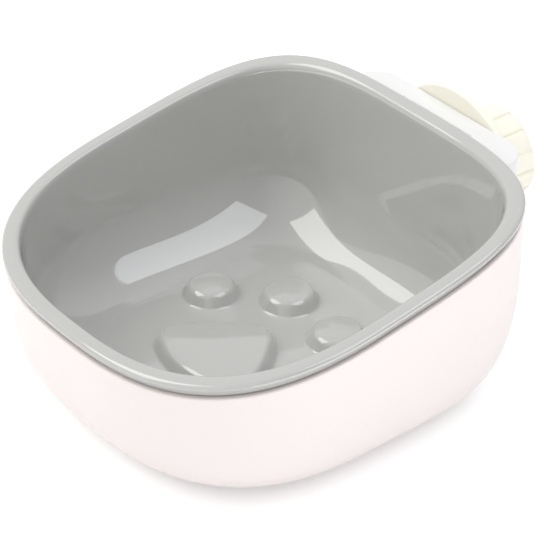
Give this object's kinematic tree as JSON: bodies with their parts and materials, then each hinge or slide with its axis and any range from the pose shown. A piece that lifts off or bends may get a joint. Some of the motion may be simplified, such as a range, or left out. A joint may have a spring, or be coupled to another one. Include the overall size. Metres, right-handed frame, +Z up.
{
  "type": "hanging dog bowl",
  "caption": "Square-round plastic feeding bowl with a sloping mouth and a paw relief, in an outer shell that slides off a screw clamp for cage wires.",
  "frame": {"origin": "on the table, at the middle of the shell's flat base under the mouth", "axes": "+Z up, +Y back towards the hanger and its knob, +X to the right seen from the front"},
  "size_m": [0.15, 0.1878, 0.0792],
  "materials": {
    "bowl_grey": "glossy moulded grey",
    "shell_pink": "satin moulded pale pink",
    "hanger_white": "satin moulded white",
    "clamp_cream": "satin moulded cream"
  },
  "bodies": {
    "hanger": {"hanger_block": "hanger_white", "clamp_screw": "hanger_white"},
    "shell": {"outer_shell": "shell_pink"},
    "bowl": {"inner_bowl": "bowl_grey"},
    "disc": {"clamp_disc": "clamp_cream"},
    "knob": {"clamp_knob": "clamp_cream"}
  },
  "joints": [
    {"name": "shell_lift_off", "type": "slide", "parent": "hanger", "child": "shell", "axis": [0, 0, 1], "range_m": [0, 0.05]},
    {"name": "bowl_lift", "type": "slide", "parent": "shell", "child": "bowl", "axis": [0, 0, 1], "range_m": [0, 0.08]},
    {"name": "clamp_slide", "type": "slide", "parent": "hanger", "child": "disc", "axis": [0, 1, 0], "range_m": [0, 0.012]},
    {"name": "knob_turn", "type": "hinge", "parent": "disc", "child": "knob", "pos_m": [0, 0.1035, 0.0475], "axis": [0, 1, 0], "range_deg": [0, 1080]}
  ],
  "couplings": [
    {"joint": "knob_turn", "follows": "clamp_slide", "rad_per_m": 1570.8}
  ]
}
